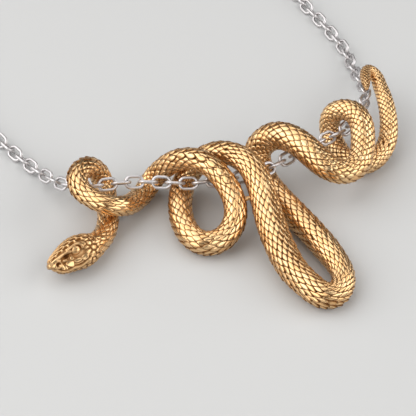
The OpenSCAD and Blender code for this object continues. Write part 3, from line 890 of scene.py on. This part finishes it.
def face_relief(s, g):
    """How far the skin of the head stands out of its plain form, and its painted light and shade.

    Each feature is a share from 0 to 1, with its height and its painted light as factors.
    """
    half = np.interp(s, HEAD_FORM[:, 0], HEAD_FORM[:, 1])
    lip = below_mouth(s, g) * np.radians(half)
    shut = ramp((MOUTH_END - s) / 0.4)
    stand, painted_light, side = head_cover(s, g, half, lip)
    # the bands and the plates stand out and are painted light
    for share, height in face_bands(s, g, half, lip, shut):
        stand = stand + height * share
        painted_light = np.maximum(painted_light, 0.95 * share)
    for *place, height in FACE_PLATES:
        share, slope = face_plate(s, g, half, *place)
        stand = stand + height * side * share * slope
        painted_light = np.maximum(painted_light, side * share)

    # the eye in its socket, the pits, the nostril with its rim, and the balls in them
    eye = off(s, g, EYE)
    ball = np.sqrt(np.maximum(0, 1 - (eye / EYE_RADIUS) ** 2))
    bowl = eased((SOCKET_RADIUS - off(s, g, SOCKET, 1.05)) / 0.5)
    bowl = bowl * (1 - 0.75 * eased((60 - g) / 6))
    rim = bump((off(s, g, NOSTRIL) - NOSTRIL_RADIUS) / 0.1)
    stand = stand - SOCKET_DEPTH * bowl + NOSTRIL_RIM * rim
    for mark, radius, rise, long in FACE_ROUNDS:
        stand = stand + rise * bump(off(s, g, mark, long) / radius)
    stand = stand + EYE_RISE * ball * eased((EYE_RADIUS - eye) / 0.1 + 0.3)

    # at the snout the relief and its painted light fade, and the mouth is cut into all of it
    front = eased(s / 0.3)
    cut = bump(lip / np.interp(s, (0, 0.7, 1.2), (0.2, 0.15, 0.08)))
    stand = stand * front - MOUTH_DEPTH * shut * cut
    painted_light = painted_light * front + 0.75 * (1 - front)
    # the socket's bowl and the nostril's rim are painted light
    painted_light = np.maximum(painted_light, np.maximum(0.75 * bowl, 0.95 * rim))
    return stand, face_shades(s, g, painted_light, shut * bump(lip / 0.08))


def blurred(relief):
    """The relief without steps finer than the mesh, on a grid that closes round the head."""
    for _ in range(BLUR_PASSES):
        beside = np.roll(relief, 1, axis=1) + np.roll(relief, -1, axis=1)
        relief = 0.5 * relief + 0.25 * beside
    return evened(relief, BLUR_PASSES)


def make_head():
    """The head as one fine skin, with its plates, eyes, pits and mouth raised and sunk."""
    turns = np.arange(HEAD_AROUND) * math.tau / HEAD_AROUND
    cap = np.linspace(1, NOSE_LAST, NOSE_RINGS + 1)[1:] * math.pi / 2
    s = np.concatenate([np.zeros(NOSE_RINGS), np.arange(0, HEAD_END, HEAD_STEP)])
    rest = len(s) - NOSE_RINGS
    shrink = np.concatenate([np.cos(cap), np.ones(rest)])[:, None]
    shift = np.concatenate([-NOSE_LENGTH * np.sin(cap), np.zeros(rest)])[:, None]
    mids, ahead, tops, sides, _ = spine(s)
    grid_s, grid_f = np.meshgrid(s, turns, indexing="ij")
    g = np.degrees(np.abs((grid_f + math.pi) % math.tau - math.pi))
    stand, painted_light = face_relief(grid_s, g)
    under = CORE_UNDER * ramp((grid_s - HEAD_UNDER_FROM) / 0.5)
    reach = (section_reach(grid_s, grid_f) + blurred(stand) * shrink ** 2 - under) * shrink
    jaw = eased((below_mouth(grid_s, g) - 1) / 10) * (1 - eased(grid_s / 1.5))
    along = shift + JAW_BACK * jaw * eased((shrink - 0.1) / 0.4)
    points = (mids[:, None] + along[..., None] * ahead[:, None]
              + reach[..., None] * directions(turns, tops, sides))
    nose = mids[0] - NOSE_LENGTH * ahead[0]
    points = np.concatenate([points.reshape(-1, 3), [nose, mids[-1]]])
    made = add_mesh("snake_head", points, tube_faces(len(s), HEAD_AROUND), GOLD)
    # painted shade, darker and duller where the plates of the body cover it
    light_share = 0.1 + 0.8 * painted_light * (1 - 0.85 * ramp((grid_s - 7.0) / 0.3))
    keep_attribute(made.data, "light_share", np.concatenate([light_share.ravel(), [0.9, 0.1]]))
    keep_attribute(made.data, "tone", np.full(len(points), 0.5))
    return made


# The bridge

BRIDGE_FROM = np.array([1.2, -5.7, 4.9]) + PENDANT_MID
BRIDGE_TO = np.array([3.4, -6.3, 5.2]) + PENDANT_MID
BRIDGE_RADIUS = 0.75
BRIDGE_WAIST = 0.42
BRIDGE_RINGS = 13
BRIDGE_AROUND = 24


def make_bridge():
    """The small cast bridge between the second coil and the long loop, waisted like a fillet."""
    across = BRIDGE_TO - BRIDGE_FROM
    way = unit(across)
    up = unit(np.array([0, 0, 1]) - way[2] * way)
    side = np.cross(way, up)
    turns = np.arange(BRIDGE_AROUND) * math.tau / BRIDGE_AROUND
    outward = np.cos(turns)[:, None] * up + np.sin(turns)[:, None] * side
    rings = []
    for t in np.linspace(0, 1, BRIDGE_RINGS):
        width = BRIDGE_WAIST + (1 - BRIDGE_WAIST) * (2 * t - 1) ** 2
        rings.append(BRIDGE_FROM + t * across + BRIDGE_RADIUS * width * outward)
    points = np.concatenate([*rings, [BRIDGE_FROM, BRIDGE_TO]])
    made = add_mesh("snake_bridge", points, tube_faces(BRIDGE_RINGS, BRIDGE_AROUND), GOLD)
    keep_attribute(made.data, "light_share", np.full(len(points), 0.7))
    keep_attribute(made.data, "tone", np.full(len(points), 0.4))
    return made


# Floor, light and camera, in metres

bpy.context.scene.view_settings.view_transform = "Standard"
CAMERA_TURN = math.radians(24)
CAMERA_RISE = math.radians(42)
CAMERA_AWAY = 0.3221
CAMERA_AIM = Vector((-0.00469, -0.07849, 0))
CAMERA_LENS = 200
FLOOR_HALF = 1.2
FLOOR_COLOUR = (0.5, 0.5, 0.495, 1)
AIR_COLOUR = (0.95, 0.9, 0.85, 1)
AIR_STRENGTH = 0.05
# Soft square lamps round the pendant: name, place, width and power in watts
LAMPS = (
    ("key", (-0.06, 0.12, 0.42), 0.6, 1.7),
    ("left", (-0.42, -0.14, 0.28), 0.56, 2.35),
    ("right", (0.4, -0.24, 0.24), 0.42, 1.55),
    ("front", (0.1, -0.5, 0.26), 0.4, 1.1),
    ("back", (-0.36, 0.26, 0.22), 0.36, 0.75))
LAMPS_AIM = (0, -0.078, 0)


def looking(turn, rise):
    """The way that a camera looks, from its turn about the vertical and its rise."""
    level = math.cos(rise)
    return Vector((math.sin(turn) * level, math.cos(turn) * level, -math.sin(rise)))


def set_camera():
    """The camera, with a long lens, in front of the pendant and above it."""
    lens = bpy.data.cameras.new("camera")
    lens.lens = CAMERA_LENS
    lens.clip_start = 0.01
    made = bpy.data.objects.new("camera", lens)
    way = looking(CAMERA_TURN, CAMERA_RISE)
    made.location = CAMERA_AIM - CAMERA_AWAY * way
    made.rotation_euler = way.to_track_quat("-Z", "Y").to_euler()
    bpy.context.scene.collection.objects.link(made)
    bpy.context.scene.camera = made


def add_light(name, place, width, power):
    """A soft lamp that is turned to the pendant."""
    lamp = bpy.data.lights.new(name, "AREA")
    lamp.size = width
    lamp.energy = power
    made = bpy.data.objects.new(name, lamp)
    made.location = place
    made.rotation_euler = (Vector(LAMPS_AIM) - Vector(place)).to_track_quat("-Z", "Y").to_euler()
    bpy.context.scene.collection.objects.link(made)


def set_stage():
    """A plain pale floor under soft light."""
    made, tree, shader = surface("pale_floor", metallic=0.0)
    where = put(tree, "ShaderNodeTexCoord").outputs["Object"]
    tree.links.new(ranged(tree, noise(tree, where, 30.0), 0.3, 0.7, 0.62, 0.72),
                   shader.inputs["Roughness"])
    shader.inputs["Base Color"].default_value = FLOOR_COLOUR
    mesh = bpy.data.meshes.new("floor")
    corners = [(x * FLOOR_HALF, y * FLOOR_HALF, 0) for x, y in ((-1, -1), (1, -1), (1, 1), (-1, 1))]
    mesh.from_pydata(corners, [], [(0, 1, 2, 3)])
    mesh.materials.append(made)
    floor = bpy.data.objects.new("floor", mesh)
    bpy.context.scene.collection.objects.link(floor)
    world = bpy.data.worlds.new("studio")
    world.use_nodes = True
    world.node_tree.nodes["Background"].inputs["Color"].default_value = AIR_COLOUR
    world.node_tree.nodes["Background"].inputs["Strength"].default_value = AIR_STRENGTH
    bpy.context.scene.world = world
    for lamp in LAMPS:
        add_light(*lamp)


set_camera()
set_stage()

for piece in (*make_skin(), make_core(), make_head(), make_bridge()):
    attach(piece, "root")
    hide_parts("snake")

# The chain and the clasp keep their own solids
for name in ("chain_left", "chain_right", "clasp"):
    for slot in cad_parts[name].material_slots:
        slot.material = SILVER
